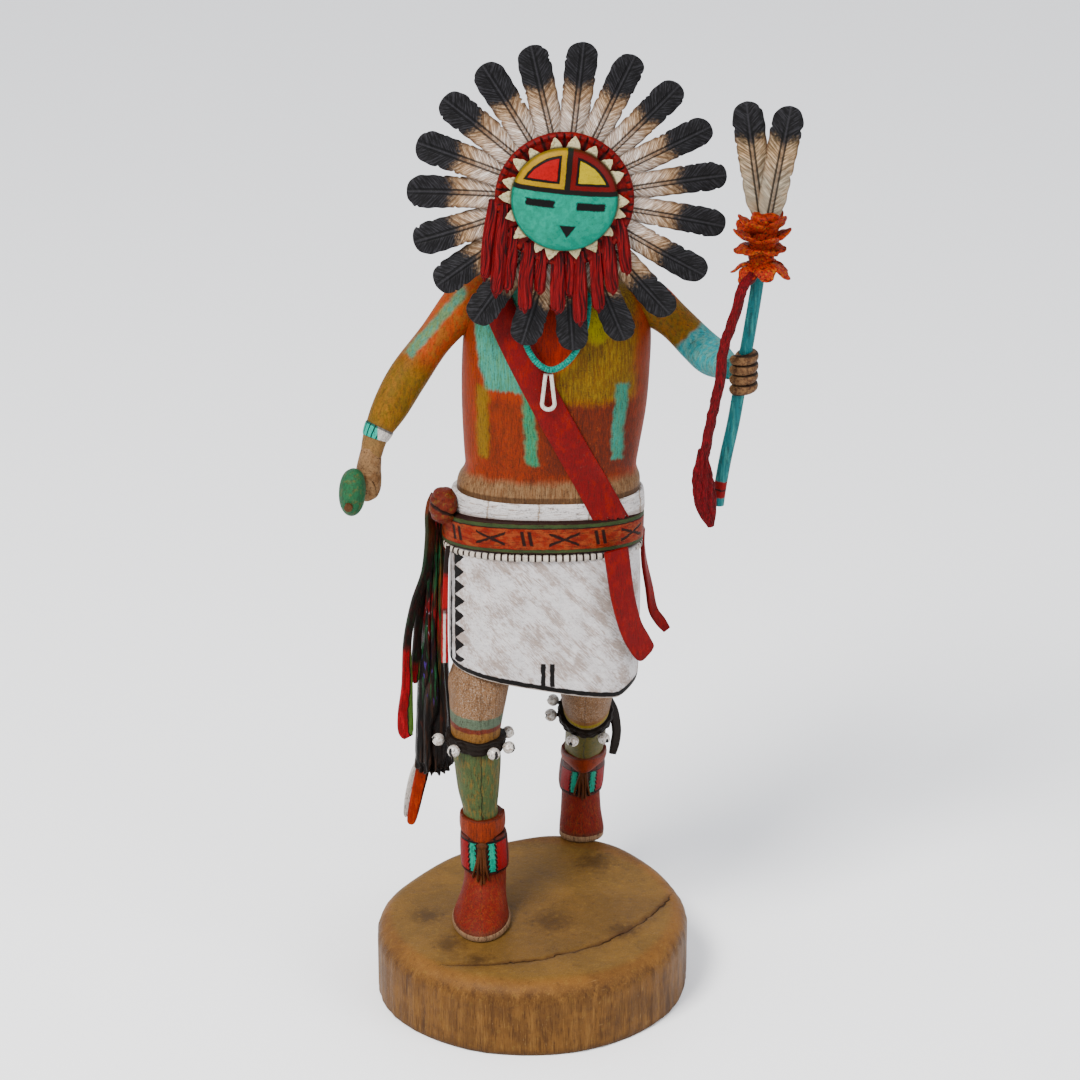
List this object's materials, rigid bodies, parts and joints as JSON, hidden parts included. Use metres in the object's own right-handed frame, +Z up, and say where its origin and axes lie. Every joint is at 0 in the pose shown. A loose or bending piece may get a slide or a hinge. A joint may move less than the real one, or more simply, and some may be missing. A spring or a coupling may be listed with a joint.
{
  "type": "carved dancer doll",
  "caption": "Carved and painted wooden dancer doll with a round feathered sun mask, a kilt, a feathered staff and a rattle, on a round slab of root.",
  "frame": {"origin": "middle of the flat underside of the root slab", "axes": "+Z up; the figure faces -Y, and +X is on its left-hand side"},
  "size_m": [0.1664, 0.1436, 0.3805],
  "materials": {
    "stained_root": "stained and lightly waxed cottonwood root",
    "painted_body": "thin matte paint over carved cottonwood root",
    "turquoise_paint": "smooth matte paint",
    "green_paint": "rough matte paint",
    "blue_paint": "satin paint",
    "orange_paint": "matte paint",
    "feather_paint": "painted and burnt wood",
    "red_paint": "matte paint",
    "white_paint": "chalky matte paint",
    "dark_paint": "matte paint",
    "bell_metal": "silver paint over carved wood"
  },
  "bodies": {
    "root": {"root_base": "stained_root", "figure": "painted_body", "right_arm": "painted_body", "left_arm": "painted_body", "wristband": "turquoise_paint", "gourd_rattle": "green_paint", "staff_rod": "blue_paint", "staff_blossom": "orange_paint", "staff_feather_a": "feather_paint", "staff_feather_b": "feather_paint", "staff_yarn": "red_paint", "head_block": "turquoise_paint", "sun_face": "turquoise_paint", "hair_fringe": "red_paint", "bandolier": "red_paint", "necklace": "turquoise_paint", "shell_pendant": "white_paint", "sash_knot": "red_paint", "sash_tail_outer": "dark_paint", "sash_tail_inner": "dark_paint", "side_sash": "dark_paint", "sash_tip": "red_paint", "bandolier_tail_front": "red_paint", "bandolier_tail_back": "red_paint", "bell_strap_right": "dark_paint", "bell_strap_left": "dark_paint", "crown_feather_01": "feather_paint", "crown_feather_02": "feather_paint", "crown_feather_03": "feather_paint", "crown_feather_04": "feather_paint", "crown_feather_05": "feather_paint", "crown_feather_06": "feather_paint", "crown_feather_07": "feather_paint", "crown_feather_08": "feather_paint", "crown_feather_09": "feather_paint", "crown_feather_10": "feather_paint", "crown_feather_11": "feather_paint", "crown_feather_12": "feather_paint", "crown_feather_13": "feather_paint", "crown_feather_14": "feather_paint", "crown_feather_15": "feather_paint", "crown_feather_16": "feather_paint", "crown_feather_17": "feather_paint", "crown_feather_18": "feather_paint", "crown_feather_19": "feather_paint", "bell_right_1": "bell_metal", "bell_right_2": "bell_metal", "bell_right_3": "bell_metal", "bell_right_4": "bell_metal", "bell_right_5": "bell_metal", "bell_right_6": "bell_metal", "bell_left_1": "bell_metal", "bell_left_2": "bell_metal", "bell_left_3": "bell_metal", "bell_left_4": "bell_metal", "bell_left_5": "bell_metal"}
  },
  "joints": []
}
